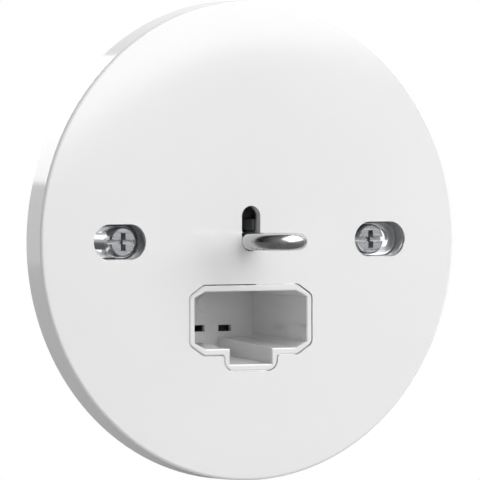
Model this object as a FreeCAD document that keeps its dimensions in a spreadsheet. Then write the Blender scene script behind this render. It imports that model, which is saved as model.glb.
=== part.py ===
import FreeCAD, Part
import math
import os
import types

import Sketcher

# Ceiling rose with a lamp hook and a plug-in lamp outlet.
# The rear of the cover lies on the ceiling, in the plane Y = 0. "Out" is the distance from the ceiling
# towards the room, along -Y. X runs across the rose, Z up its face, and the hook turns about Y.

SIZES = {
    # cover
    "cover_diameter": 100.0,
    "cover_depth": 6.6,
    "face_wall": 1.6,
    "skirt_wall": 1.8,
    "edge_radius": 0.6,
    "crown_start": 29.0,
    "crown_drop": 0.55,
    "crown_overrun": 1.0,
    "rib_ring_gap": 0.6,
    "rib_width": 1.0,
    "rib_depth": 1.5,
    "hook_slot_play": 0.48,
    "head_slot_play": 0.25,
    "clip_width": 6.0,
    "clip_wall": 1.2,
    "clip_reach": 4.2,
    "clip_barb": 0.7,
    "clip_barb_height": 0.9,
    "clip_play": 0.15,
    # steel bridge
    "steel": 1.2,
    "bridge_inset": 9.0,
    "bridge_top": 12.5,
    "bridge_socket_gap": 0.7,
    "bridge_corner": 3.0,
    "flange_drop": 2.8,
    "flange_inset": 4.0,
    "bend_radius": 0.4,
    "relief_width": 0.8,
    "flange_tab_gap": 2.5,
    "flange_ear_gap": 2.0,
    "foot_gap": 0.2,
    "foot_inset": 3.5,
    "cup_shift": 1.5,
    "cup_stretch": 5.0,
    "head_room": 0.55,
    "cup_depth": 3.9,
    "cup_wall": 1.0,
    "cup_floor_radius": 0.45,
    "cup_lip": 0.45,
    "cup_rim_chamfer": 0.25,
    "cup_edge_chamfer": 0.6,
    "cup_gap": 0.3,
    "cup_play": 0.1,
    "adjust_stretch": 4.3,
    "adjust_play": 0.4,
    "hook_slot_margin": 0.3,
    "earth_tab_width": 8.0,
    "earth_tab_margin": 3.0,
    # hook
    "wire_diameter": 3.5,
    "ring_radius": 5.0,
    "ring_shift": 0.8,
    "ring_height": 11.0,
    "neck_radius": 3.0,
    "tip_angle": 225.0,
    "tip_rounding": 0.7,
    "head_length": 9.0,
    "head_thickness": 3.0,
    "head_play": 0.05,
    # fixing screws
    "screw_spacing": 60.0,
    "screw_diameter": 3.5,
    "screw_length": 25.0,
    "screw_point": 3.0,
    "screw_neck_diameter": 3.1,
    "screw_neck_gap": 0.3,
    "screw_head_diameter": 6.3,
    "screw_head_height": 2.6,
    "screw_head_dome": 0.35,
    "drive_slot_width": 0.95,
    "drive_slot_depth": 1.2,
    "drive_cross_width": 1.15,
    "drive_cross_length": 3.7,
    "drive_cross_depth": 1.8,
    # outlet socket
    "socket_drop": 16.5,
    "socket_width": 29.6,
    "socket_height": 14.5,
    "socket_corner_run": 3.5,
    "socket_corner_rise": 2.3,
    "socket_corner_radius": 1.4,
    "key_width": 12.7,
    "key_depth": 3.3,
    "key_corner_radius": 2.2,
    "key_root_radius": 0.7,
    "socket_wall": 1.25,
    "socket_gap": 0.2,
    "cavity_depth": 21.8,
    "cavity_corner_run": 2.6,
    "floor_corner_run": 1.3,
    "cavity_corner_rise": 1.3,
    "floor_corner_rise": 0.6,
    "rim_chamfer": 0.2,
    "top_draft": 0.6,
    "bottom_draft": 1.8,
    "width_draft": 0.15,
    "socket_floor": 1.0,
    "blade_slot_width": 3.15,
    "blade_slot_height": 1.35,
    "blade_pitch": 6.5,
    "blade_drop": 2.35,
    "floor_boss_radius": 1.86,
    "floor_boss_height": 0.15,
    "floor_boss_across": 1.6,
    "floor_boss_up": 2.75,
    "ear_screw_reach": 3.75,
    "ear_screw_inset": 3.75,
    "ear_screw_margin": 2.9,
    "ear_edge": 2.6,
    "ear_thickness": 2.0,
    # housing screws and earth rivet
    "small_screw_diameter": 3.0,
    "small_head_diameter": 5.4,
    "small_head_height": 1.7,
    "small_slot_width": 0.8,
    "small_slot_depth": 0.8,
    "screw_play": 0.2,
    "thread_play": 0.05,
    "rivet_radius": 1.25,
    "rivet_head_radius": 2.4,
    "rivet_head_height": 0.8,
    "rivet_flare": 0.6,
    "rivet_inset": 4.0,
    # terminal block
    "block_step": 0.05,
    "terminal_gap": 0.7,
    "block_overhang": 0.2,
    "shelf_gap": 1.6,
    "block_wall": 1.5,
    "chamber_base": 4.3,
    "rear_room": 4.2,
    "partition_wall": 1.2,
    "terminal_height": 8.0,
    "chamber_play": 0.7,
    "chamber_wall": 1.3,
    "spring_room": 1.95,
    "chamber_gap": 0.2,
    "stop_play": 0.3,
    "stop_inset": 0.8,
    "seat_bar_half": 1.3,
    "seat_bar_depth": 3.0,
    "snap_width": 6.0,
    "snap_wall": 1.2,
    "snap_length": 9.0,
    "snap_window_width": 3.2,
    "snap_window_length": 2.0,
    "snap_play": 0.1,
    "snap_lug": 0.9,
    "lug_ramp": 0.6,
    "block_corner": 0.8,
    # contacts, clamp springs and release buttons
    "strip": 0.8,
    "contact_width": 5.0,
    "terminal_reach": 9.0,
    "fork_length": 4.7,
    "strip_bend": 0.5,
    "fork_width": 3.0,
    "fork_leaf": 0.5,
    "fork_gap": 0.9,
    "fork_mouth": 1.9,
    "fork_base_gap": 2.0,
    "fork_clear": 0.4,
    "fork_pinch": 1.3,
    "spring_sheet": 0.4,
    "spring_inset": 0.3,
    "spring_bend": 0.6,
    "spring_bight": 2.0,
    "spring_front_gap": 4.7,
    "spring_play": 0.1,
    "button_width": 4.0,
    "button_height": 6.0,
    "button_proud": 1.2,
    "button_collar": 0.6,
    "button_collar_height": 1.3,
    "button_rounding": 0.4,
    "button_groove_width": 0.9,
    "button_groove_length": 3.0,
    "button_groove_depth": 0.5,
    "button_play": 0.1,
    "button_window_play": 0.3,
    "button_travel": 1.5,
    "prong_width": 1.6,
    "prong_clear": 0.15,
    # terminal cover
    "rear_plate": 1.6,
    "plate_corner": 1.2,
    "wire_hole_radius": 1.8,
    "wire_hole_funnel": 0.5,
    "wire_inset": 1.2,
    "tab_margin": 0.7,
    "tab_lead": 0.6,
    # hook spring
    "leaf_thickness": 0.4,
    "leaf_width": 3.4,
    "leaf_end_gap": 0.8,
    # earth strap
    "strap_sheet": 0.6,
    "strap_width": 4.0,
    "strap_gap": 0.05,
    "strap_bend": 0.3,
    "strap_foot_margin": 1.45,
}

doc = FreeCAD.newDocument("CeilingRose")
sheet = doc.addObject("Spreadsheet::Sheet", "Sizes")
for row, (alias, value) in enumerate(SIZES.items(), start=1):
    sheet.set(f"A{row}", alias)
    sheet.set(f"B{row}", str(value))
    sheet.setAlias(f"B{row}", alias)
doc.recompute()


class Size:
    """A length or angle, with the formula over the sheet's cells that gives it."""

    def __init__(self, value, formula):
        self.value = value
        self.formula = formula

    def __add__(self, other):
        other = as_size(other)
        return Size(self.value + other.value, f"({self.formula} + {other.formula})")

    def __sub__(self, other):
        other = as_size(other)
        return Size(self.value - other.value, f"({self.formula} - {other.formula})")

    def __mul__(self, other):
        other = as_size(other)
        return Size(self.value * other.value, f"({self.formula} * {other.formula})")

    def __truediv__(self, other):
        other = as_size(other)
        return Size(self.value / other.value, f"({self.formula} / {other.formula})")

    def __neg__(self):
        return Size(-self.value, f"(0 - {self.formula})")

    def __radd__(self, other):
        return as_size(other) + self

    def __rsub__(self, other):
        return as_size(other) - self

    def __rmul__(self, other):
        return as_size(other) * self


def as_size(item):
    """Give a plain number the form of a Size."""
    if isinstance(item, Size):
        return item
    return Size(float(item), f"({float(item)})")


def root(item):
    return Size(math.sqrt(item.value), f"sqrt({item.formula})")


def cosine(angle):
    return Size(math.cos(math.radians(angle.value)), f"cos({angle.formula})")


GUSSET_COUNT = 16
POLE_COUNT = 3
S = types.SimpleNamespace(**{name: Size(value, f"Sizes.{name}") for name, value in SIZES.items()})
ZERO = as_size(0)

# Widths, lengths and places that follow from the sizes.
HOOK_SLOT_WIDTH = S.wire_diameter + 2 * S.hook_slot_play
HOOK_SLOT_RISE = S.head_length + 2 * S.head_slot_play - HOOK_SLOT_WIDTH
CUP_WIDTH = S.screw_head_diameter + 2 * S.head_room
CUP_PLACE = S.screw_spacing / 2 + S.cup_shift
ADJUST_WIDTH = S.screw_diameter + 2 * S.adjust_play
BRIDGE_HALF = S.cover_diameter / 2 - S.bridge_inset
SOCKET_HALF = S.socket_width / 2
SOCKET_TOP = S.socket_height / 2 - S.socket_drop
SOCKET_BOTTOM = -S.socket_height / 2 - S.socket_drop
BRIDGE_LOW = SOCKET_TOP + S.bridge_socket_gap
EAR_SCREW_PLACE = SOCKET_HALF + S.ear_screw_reach
EAR_END = EAR_SCREW_PLACE + S.ear_screw_inset
EAR_SCREW_UP = BRIDGE_LOW + S.ear_screw_margin
TOP_FLANGE_START = S.earth_tab_width / 2 + S.flange_tab_gap
LOW_FLANGE_START = EAR_END + S.flange_ear_gap
FLANGE_END = BRIDGE_HALF - S.flange_inset
CHAMBER_RADIUS = S.head_length / 2 + S.chamber_play
BLOCK_HALF = SOCKET_HALF + S.block_step
BLOCK_INNER = BLOCK_HALF - S.block_wall
BLOCK_TOP = S.terminal_height + S.terminal_reach + S.strip + S.terminal_gap + S.block_wall
BLOCK_LOW = SOCKET_BOTTOM - S.key_depth - S.block_overhang
BLOCK_SHELF = SOCKET_TOP + S.shelf_gap
POLE_PITCH = (2 * BLOCK_INNER + S.partition_wall) / POLE_COUNT
TAB_PLACES = (S.terminal_height, BLOCK_LOW + S.tab_margin + S.snap_width / 2)
RIVET_PLACE = BLOCK_TOP - S.rivet_inset

# Levels, each an "out" distance from the ceiling.
FACE = S.cover_depth
INSIDE = FACE - S.face_wall
PLATE_TOP = INSIDE
PLATE_BOTTOM = PLATE_TOP - S.steel
CUP_TOP = FACE - S.cup_lip
CUP_FLOOR = FACE - S.cup_depth
CUP_BOTTOM = CUP_FLOOR - S.steel
HEAD_TOP = PLATE_BOTTOM - S.head_play
HEAD_BOTTOM = HEAD_TOP - S.head_thickness
CHAMBER_RIM = PLATE_BOTTOM - S.chamber_gap
CAVITY_FLOOR = FACE - S.cavity_depth
SOCKET_REAR = CAVITY_FLOOR - S.socket_floor
CHAMBER_FLOOR = HEAD_BOTTOM - S.spring_room
BLOCK_FRONT = CHAMBER_FLOOR - S.chamber_base
TERMINAL_FRONT = BLOCK_FRONT - S.block_wall
FORK_TIP = SOCKET_REAR - S.fork_clear
TERMINAL_END = FORK_TIP - S.fork_length
RUN_REAR = TERMINAL_END - S.strip
BLOCK_REAR = RUN_REAR - S.rear_room
REAR_OUTSIDE = BLOCK_REAR - S.rear_plate
EAR_BOTTOM = PLATE_BOTTOM - S.ear_thickness
SOCKET_MIDDLE = -S.socket_drop
BLADE_ROW = SOCKET_MIDDLE - S.blade_drop
SPRING_REAR = TERMINAL_END + 0.5 * S.strip
SPRING_SEAT = SPRING_REAR + S.spring_sheet
BUTTON_REAR = REAR_OUTSIDE - S.button_proud
COLLAR_REAR = BLOCK_REAR + S.button_play
COLLAR_FRONT = COLLAR_REAR + S.button_collar_height
STRAP_REAR = TERMINAL_END


def new_body(name):
    body = doc.addObject("PartDesign::Body", name)
    body.Label = name
    return body


def origin_feature(body, role):
    """The body's own origin plane or axis of the given role."""
    return next(item for item in body.Origin.OriginFeatures if item.Role == role)


def sketch_on(body, name, role, offset):
    sketch = body.newObject("Sketcher::SketchObject", name)
    sketch.AttachmentSupport = (origin_feature(body, role), [""])
    sketch.MapMode = "FlatFace"
    sketch.setExpression("AttachmentOffset.Base.z", offset.formula)
    return sketch


def dimension(sketch, kind, *places, size):
    """Add one dimension and bind it to the sheet."""
    index = sketch.addConstraint(Sketcher.Constraint(kind, *places, size.value))
    sketch.setExpression(f"Constraints[{index}]", size.formula)


def pin(sketch, line, end, across, up):
    """Hold a point of the sketch at its distances from the sketch's origin."""
    dimension(sketch, "DistanceX", -1, 1, line, end, size=as_size(across))
    dimension(sketch, "DistanceY", -1, 1, line, end, size=as_size(up))


def polygon(corners):
    """A closed outline of straight lines."""
    corners = [(as_size(across), as_size(up)) for across, up in corners]

    def draw(sketch):
        points = [FreeCAD.Vector(across.value, up.value, 0) for across, up in corners]
        first = sketch.GeometryCount
        count = len(points)
        for index, point in enumerate(points):
            sketch.addGeometry(Part.LineSegment(point, points[(index + 1) % count]), False)
        for index in range(count):
            after = first + (index + 1) % count
            sketch.addConstraint(Sketcher.Constraint("Coincident", first + index, 2, after, 1))
            pin(sketch, first + index, 1, *corners[index])

    return draw


def rectangle(low_x, high_x, low_z, high_z):
    return polygon([(low_x, low_z), (high_x, low_z), (high_x, high_z), (low_x, high_z)])


def circle(across, up, radius):
    across, up = as_size(across), as_size(up)

    def draw(sketch):
        centre = FreeCAD.Vector(across.value, up.value, 0)
        index = sketch.addGeometry(Part.Circle(centre, FreeCAD.Vector(0, 0, 1), radius.value), False)
        pin(sketch, index, 3, across, up)
        dimension(sketch, "Radius", index, size=radius)

    return draw


def obround(start, end, radius):
    """A slot outline round two centres, which lie one above the other or side by side."""
    start = [as_size(item) for item in start]
    end = [as_size(item) for item in end]

    def draw(sketch):
        normal = FreeCAD.Vector(0, 0, 1)
        centres = [FreeCAD.Vector(across.value, up.value, 0) for across, up in (start, end)]
        along = centres[1] - centres[0]
        heading = math.atan2(along.y, along.x)
        side = FreeCAD.Vector(-math.sin(heading), math.cos(heading), 0) * radius.value
        quarter = math.pi / 2
        near_circle, far_circle = (Part.Circle(centre, normal, radius.value) for centre in centres)
        near = Part.ArcOfCircle(near_circle, heading + quarter, heading + 3 * quarter)
        far = Part.ArcOfCircle(far_circle, heading - quarter, heading + quarter)
        first = sketch.GeometryCount
        sketch.addGeometry(far, False)
        sketch.addGeometry(Part.LineSegment(centres[1] + side, centres[0] + side), False)
        sketch.addGeometry(near, False)
        sketch.addGeometry(Part.LineSegment(centres[0] - side, centres[1] - side), False)
        for index in range(4):
            joined = Sketcher.Constraint("Tangent", first + index, 2, first + (index + 1) % 4, 1)
            sketch.addConstraint(joined)
        sketch.addConstraint(Sketcher.Constraint("Equal", first, first + 2))
        pin(sketch, first, 3, *end)
        pin(sketch, first + 2, 3, *start)
        dimension(sketch, "Radius", first, size=radius)

    return draw


def settle(body, feature):
    """Recompute, make the feature the body's result, and stop if it failed."""
    body.Tip = feature
    doc.recompute()
    if "Invalid" in feature.State or "Error" in feature.State or feature.Shape.isNull():
        raise RuntimeError(f"{body.Label}: {feature.Label} failed")
    return feature


def add_prism(body, name, outlines, low, high, role="XZ_Plane"):
    """Pad the outlines from level low to level high of the plane's normal."""
    sketch = sketch_on(body, name + "_outline", role, as_size(low))
    for draw in outlines:
        draw(sketch)
    feature = body.newObject("PartDesign::Pad", name)
    feature.Profile = sketch
    feature.setExpression("Length", (as_size(high) - as_size(low)).formula)
    return settle(body, feature)


def check_cut(body, feature, before):
    """Stop if a cut took nothing away."""
    settle(body, feature)
    if feature.Shape.Volume > before - 1e-3:
        raise RuntimeError(f"{body.Label}: {feature.Label} cuts nothing")
    return feature


def cut_prism(body, name, outlines, low, high, role="XZ_Plane"):
    """Cut the outlines away between level high and level low."""
    before = body.Tip.Shape.Volume
    sketch = sketch_on(body, name + "_outline", role, as_size(high))
    for draw in outlines:
        draw(sketch)
    feature = body.newObject("PartDesign::Pocket", name)
    feature.Profile = sketch
    feature.setExpression("Length", (as_size(high) - as_size(low)).formula)
    return check_cut(body, feature, before)


def ease_edges(body, name, kind, edges, amount):
    """Fillet or chamfer the named edges of the body's present shape."""
    if not edges:
        raise RuntimeError(f"{body.Label}: no edges for {name}")
    base = body.Tip
    feature = body.newObject(f"PartDesign::{kind}", name)
    feature.Base = (base, edges)
    feature.setExpression("Radius" if kind == "Fillet" else "Size", amount.formula)
    return settle(body, feature)


def edges_where(body, test):
    """Names of the edges of the body's present shape that pass the test."""
    return [f"Edge{number}" for number, edge in enumerate(body.Tip.Shape.Edges, start=1) if test(edge)]


def at_level(edge, level):
    """True for an edge that lies wholly at one out distance."""
    return all(abs(-point.y - level.value) < 1e-4 for point in edge.discretize(5))


def edges_along_y(body, corners, low, high):
    """Names of the straight edges along Y at the given corners, between two levels."""

    def wanted(edge):
        box = edge.BoundBox
        if box.XLength > 1e-4 or box.ZLength > 1e-4 or box.YLength < 1e-3:
            return False
        if -box.YMax < low.value - 1e-3 or -box.YMin > high.value + 1e-3:
            return False
        return any(
            math.hypot(box.XMin - across.value, box.ZMin - up.value) < 1e-3 for across, up in corners
        )

    return edges_where(body, wanted)


def edges_along_x(body, corners, start=None, end=None):
    """Names of the straight edges along X at the given corners of out and up, between two places."""

    def wanted(edge):
        box = edge.BoundBox
        if box.YLength > 1e-4 or box.ZLength > 1e-4 or box.XLength < 1e-3:
            return False
        if start is not None and (box.XMin < start.value - 1e-3 or box.XMax > end.value + 1e-3):
            return False
        return any(math.hypot(-box.YMin - out.value, box.ZMin - up.value) < 1e-3 for out, up in corners)

    return edges_where(body, wanted)


def edges_along_z(body, across, out):
    """Names of the straight edges along Z at one out distance, on both sides."""

    def wanted(edge):
        box = edge.BoundBox
        if box.XLength > 1e-4 or box.YLength > 1e-4 or box.ZLength < 1e-3:
            return False
        return math.hypot(abs(box.XMin) - across.value, -box.YMin - out.value) < 1e-3

    return edges_where(body, wanted)


def bend(body, name, inside, outside, radius, sheet_metal):
    """Round a folded strip's corners: the inner ones by the radius, the outer ones by one sheet more."""
    ease_edges(body, name + "_inside", "Fillet", edges_along_x(body, inside), radius)
    ease_edges(body, name + "_outside", "Fillet", edges_along_x(body, outside), radius + sheet_metal)


def both_sides(place):
    """A place and its mirror image."""
    return (-place, place)


def revolved(body, name, corners):
    """Turn an outline of radius and out distance about the body's Y axis."""
    sketch = sketch_on(body, name + "_outline", "XY_Plane", ZERO)
    polygon([(radius, -as_size(out)) for radius, out in corners])(sketch)
    feature = body.newObject("PartDesign::Revolution", name)
    feature.Profile = sketch
    feature.ReferenceAxis = (sketch, ["V_Axis"])
    feature.Angle = 360
    return settle(body, feature)


def keyed_outline(half_width, bottom, top, run, rise, half_key, key_bottom):
    """Corners of the outlet's outline: a box with cut corners and a key below its middle."""
    return [
        (half_width - run, top),
        (-half_width + run, top),
        (-half_width, top - rise),
        (-half_width, bottom + rise),
        (-half_width + run, bottom),
        (-half_key, bottom),
        (-half_key, key_bottom),
        (half_key, key_bottom),
        (half_key, bottom),
        (half_width - run, bottom),
        (half_width, bottom + rise),
        (half_width, top - rise),
    ]


def socket_outline(grow):
    """The outer outline of the socket, grown by a gap for the opening round it."""
    return keyed_outline(
        SOCKET_HALF + grow,
        SOCKET_BOTTOM - grow,
        SOCKET_TOP + grow,
        S.socket_corner_run,
        S.socket_corner_rise,
        S.key_width / 2 + grow,
        SOCKET_BOTTOM - S.key_depth - grow,
    )


def round_outline(body, outline, low, high, grow):
    """Round the edges of an outlet outline: its corners, the key's ends and the two roots of the key."""
    ends, roots = (6, 7), (5, 8)
    plain = [corner for index, corner in enumerate(outline) if index not in ends + roots]
    for name, corners, radius in (
        ("corners", plain, S.socket_corner_radius + grow),
        ("key_corners", [outline[index] for index in ends], S.key_corner_radius + grow),
        ("key_roots", [outline[index] for index in roots], S.key_root_radius - grow),
    ):
        ease_edges(body, "outlet_" + name, "Fillet", edges_along_y(body, corners, low, high), radius)


def hook_slot(margin):
    return obround((0, 0), (0, HOOK_SLOT_RISE), HOOK_SLOT_WIDTH / 2 + margin)


def cup_outline(side, margin):
    """The obround of one screw cup, on the side given by -1 or 1."""
    half = S.cup_stretch / 2
    place = side * CUP_PLACE
    return obround((place - half, 0), (place + half, 0), CUP_WIDTH / 2 + margin)


def cut_crown(body, radius):
    """Let the outer zone of the face fall away to the rim in a shallow arc."""
    before = body.Tip.Shape.Volume
    span = radius - S.crown_start
    arc_radius = (span * span + S.crown_drop * S.crown_drop) / (2 * S.crown_drop)
    reach = span + S.crown_overrun
    end_x = S.crown_start + reach
    end_y = -FACE + arc_radius - root(arc_radius * arc_radius - reach * reach)
    corners = [(S.crown_start, -FACE), (end_x, -FACE), (end_x, end_y)]
    start, outer, end = (FreeCAD.Vector(across.value, up.value, 0) for across, up in corners)
    centre = FreeCAD.Vector(S.crown_start.value, (arc_radius - FACE).value, 0)
    circle_form = Part.Circle(centre, FreeCAD.Vector(0, 0, 1), arc_radius.value)
    heading = math.atan2(end.y - centre.y, end.x - centre.x)
    sketch = sketch_on(body, "crown_outline", "XY_Plane", ZERO)
    sketch.addGeometry(Part.LineSegment(start, outer), False)
    sketch.addGeometry(Part.LineSegment(outer, end), False)
    sketch.addGeometry(Part.ArcOfCircle(circle_form, -math.pi / 2, heading), False)
    sketch.addConstraint(Sketcher.Constraint("Coincident", 0, 2, 1, 1))
    sketch.addConstraint(Sketcher.Constraint("Coincident", 1, 2, 2, 2))
    sketch.addConstraint(Sketcher.Constraint("Coincident", 2, 1, 0, 1))
    pin(sketch, 0, 1, *corners[0])
    pin(sketch, 1, 1, *corners[1])
    pin(sketch, 1, 2, *corners[2])
    dimension(sketch, "Radius", 2, size=arc_radius)
    groove = body.newObject("PartDesign::Groove", "crown")
    groove.Profile = sketch
    groove.ReferenceAxis = (sketch, ["V_Axis"])
    groove.Angle = 360
    check_cut(body, groove, before)


def make_cover():
    body = new_body("cover")
    radius = S.cover_diameter / 2
    add_prism(body, "disc", [circle(0, 0, radius)], 0, FACE)
    cut_prism(body, "hollow", [circle(0, 0, radius - S.skirt_wall)], 0, INSIDE)
    ring_radius = root(BRIDGE_HALF * BRIDGE_HALF + S.bridge_top * S.bridge_top) + S.rib_ring_gap
    ring = [circle(0, 0, ring_radius), circle(0, 0, ring_radius + S.rib_width)]
    add_prism(body, "rib_ring", ring, INSIDE - S.rib_depth, INSIDE)
    half_rib = S.rib_width / 2
    gusset_end = radius - S.skirt_wall / 2
    gusset_start = ring_radius + half_rib
    outline = rectangle(gusset_start, gusset_end, -half_rib, half_rib)
    gusset = add_prism(body, "gusset", [outline], INSIDE - S.rib_depth, INSIDE)
    pattern = body.newObject("PartDesign::PolarPattern", "gussets")
    pattern.Originals = [gusset]
    pattern.Axis = (origin_feature(body, "Y_Axis"), [""])
    pattern.Angle = 360
    pattern.Occurrences = GUSSET_COUNT
    settle(body, pattern)
    arms = []
    barbs = []
    for start_x, edge, side in (
        (TOP_FLANGE_START, S.bridge_top, 1),
        (LOW_FLANGE_START, BRIDGE_LOW, -1),
    ):
        inner = edge + side * S.clip_play
        outer = inner + side * S.clip_wall
        hooked = inner - side * S.clip_barb
        for middle in both_sides((start_x + FLANGE_END) / 2):
            start = middle - S.clip_width / 2
            end = middle + S.clip_width / 2
            arms.append(rectangle(start, end, inner, outer))
            barbs.append(rectangle(start, end, hooked, outer))
    barb_top = PLATE_TOP - S.flange_drop - S.clip_play
    add_prism(body, "clip_arms", arms, INSIDE - S.clip_reach, INSIDE)
    add_prism(body, "clip_barbs", barbs, barb_top - S.clip_barb_height, barb_top)
    recesses = [cup_outline(side, S.cup_wall + S.cup_gap) for side in (-1, 1)]
    cut_prism(body, "cup_recesses", recesses, INSIDE, CUP_TOP)
    openings = [hook_slot(ZERO), cup_outline(-1, ZERO), cup_outline(1, ZERO)]
    cut_prism(body, "hook_and_screw_openings", openings, 0, FACE)
    outline = socket_outline(S.socket_gap)
    cut_prism(body, "socket_opening", [polygon(outline)], 0, FACE)
    round_outline(body, outline, INSIDE, FACE, S.socket_gap)
    cut_crown(body, radius)
    rim = edges_where(body, lambda edge: at_level(edge, FACE - S.crown_drop))
    ease_edges(body, "disc_edge", "Fillet", rim, S.edge_radius)
    return body


def make_bridge():
    body = new_body("mounting_bridge")
    half = BRIDGE_HALF
    tab = S.earth_tab_width / 2
    tab_top = RIVET_PLACE + S.earth_tab_margin
    outline = [
        (-half, BRIDGE_LOW),
        (half, BRIDGE_LOW),
        (half, S.bridge_top),
        (tab, S.bridge_top),
        (tab, tab_top),
        (-tab, tab_top),
        (-tab, S.bridge_top),
        (-half, S.bridge_top),
    ]
    add_prism(body, "plate", [polygon(outline)], PLATE_BOTTOM, PLATE_TOP)
    outer = [outline[index] for index in (0, 1, 2, 7)]
    corners = edges_along_y(body, outer, PLATE_BOTTOM, PLATE_TOP)
    ease_edges(body, "plate_corners", "Fillet", corners, S.bridge_corner)
    reliefs = []
    flanges = []
    feet = []
    depth = S.steel + S.bend_radius
    for side in (-1, 1):
        for start, edge, inwards in (
            (TOP_FLANGE_START, S.bridge_top, -1),
            (LOW_FLANGE_START, BRIDGE_LOW, 1),
        ):
            flanges.append(rectangle(side * start, side * FLANGE_END, edge + inwards * S.steel, edge))
            relief_start = edge + inwards * depth
            relief_end = edge - inwards * S.steel
            for low, high in ((start - S.relief_width, start), (FLANGE_END, FLANGE_END + S.relief_width)):
                reliefs.append(rectangle(side * low, side * high, relief_start, relief_end))
        foot_low = BRIDGE_LOW + S.foot_inset
        foot_high = S.bridge_top - S.foot_inset
        feet.append(rectangle(side * (half - S.steel), side * half, foot_low, foot_high))
    add_prism(body, "flanges", flanges, PLATE_TOP - S.flange_drop, PLATE_TOP)
    cut_prism(body, "bend_reliefs", reliefs, PLATE_BOTTOM, PLATE_TOP)
    for name, level, shift, radius in (
        ("flange_bends_inside", PLATE_BOTTOM, S.steel, S.bend_radius),
        ("flange_bends_outside", PLATE_TOP, ZERO, S.bend_radius + S.steel / 2),
    ):
        corners = [(level, S.bridge_top - shift), (level, BRIDGE_LOW + shift)]
        edges = edges_along_x(body, corners, TOP_FLANGE_START, FLANGE_END)
        edges += edges_along_x(body, corners, -FLANGE_END, -TOP_FLANGE_START)
        ease_edges(body, name, "Fillet", edges, radius)
    add_prism(body, "cups", [cup_outline(side, S.cup_wall) for side in (-1, 1)], CUP_BOTTOM, CUP_TOP)
    cup_edges = edges_where(body, lambda edge: at_level(edge, CUP_BOTTOM))
    ease_edges(body, "cup_outer_edges", "Chamfer", cup_edges, S.cup_edge_chamfer)
    add_prism(body, "feet", feet, S.foot_gap, PLATE_TOP)
    hollows = [cup_outline(side, -S.cup_play) for side in (-1, 1)]
    cut_prism(body, "cup_hollows", hollows, CUP_FLOOR, CUP_TOP)
    floor_edges = edges_where(body, lambda edge: at_level(edge, CUP_FLOOR))
    ease_edges(body, "cup_floor_edges", "Fillet", floor_edges, S.cup_floor_radius)
    cup_reach = CUP_WIDTH.value / 2

    def cup_rim(edge):
        box = edge.BoundBox
        return at_level(edge, CUP_TOP) and box.ZMax < cup_reach and box.ZMin > -cup_reach

    ease_edges(body, "cup_rims", "Chamfer", edges_where(body, cup_rim), S.cup_rim_chamfer)
    slot_half = S.adjust_stretch / 2
    slots = []
    for side in (-1, 1):
        place = side * CUP_PLACE
        slots.append(obround((place - slot_half, 0), (place + slot_half, 0), ADJUST_WIDTH / 2))
    cut_prism(body, "adjusting_slots", slots, CUP_BOTTOM, CUP_FLOOR)
    cut_prism(body, "hook_slot", [hook_slot(S.hook_slot_margin)], PLATE_BOTTOM, PLATE_TOP)
    tapped = S.small_screw_diameter / 2 + S.thread_play
    holes = [circle(place, EAR_SCREW_UP, tapped) for place in both_sides(EAR_SCREW_PLACE)]
    cut_prism(body, "tapped_holes", holes, PLATE_BOTTOM, PLATE_TOP)
    rivet_hole = S.rivet_radius + S.thread_play
    cut_prism(body, "rivet_hole", [circle(0, RIVET_PLACE, rivet_hole)], PLATE_BOTTOM, PLATE_TOP)

    def rivet_mouth(edge):
        centre = edge.BoundBox.Center
        on_axis = math.hypot(centre.x, centre.z - RIVET_PLACE.value) < 1e-3
        return on_axis and at_level(edge, PLATE_TOP)

    ease_edges(body, "rivet_mouth", "Chamfer", edges_where(body, rivet_mouth), S.rivet_flare)
    return body


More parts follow.
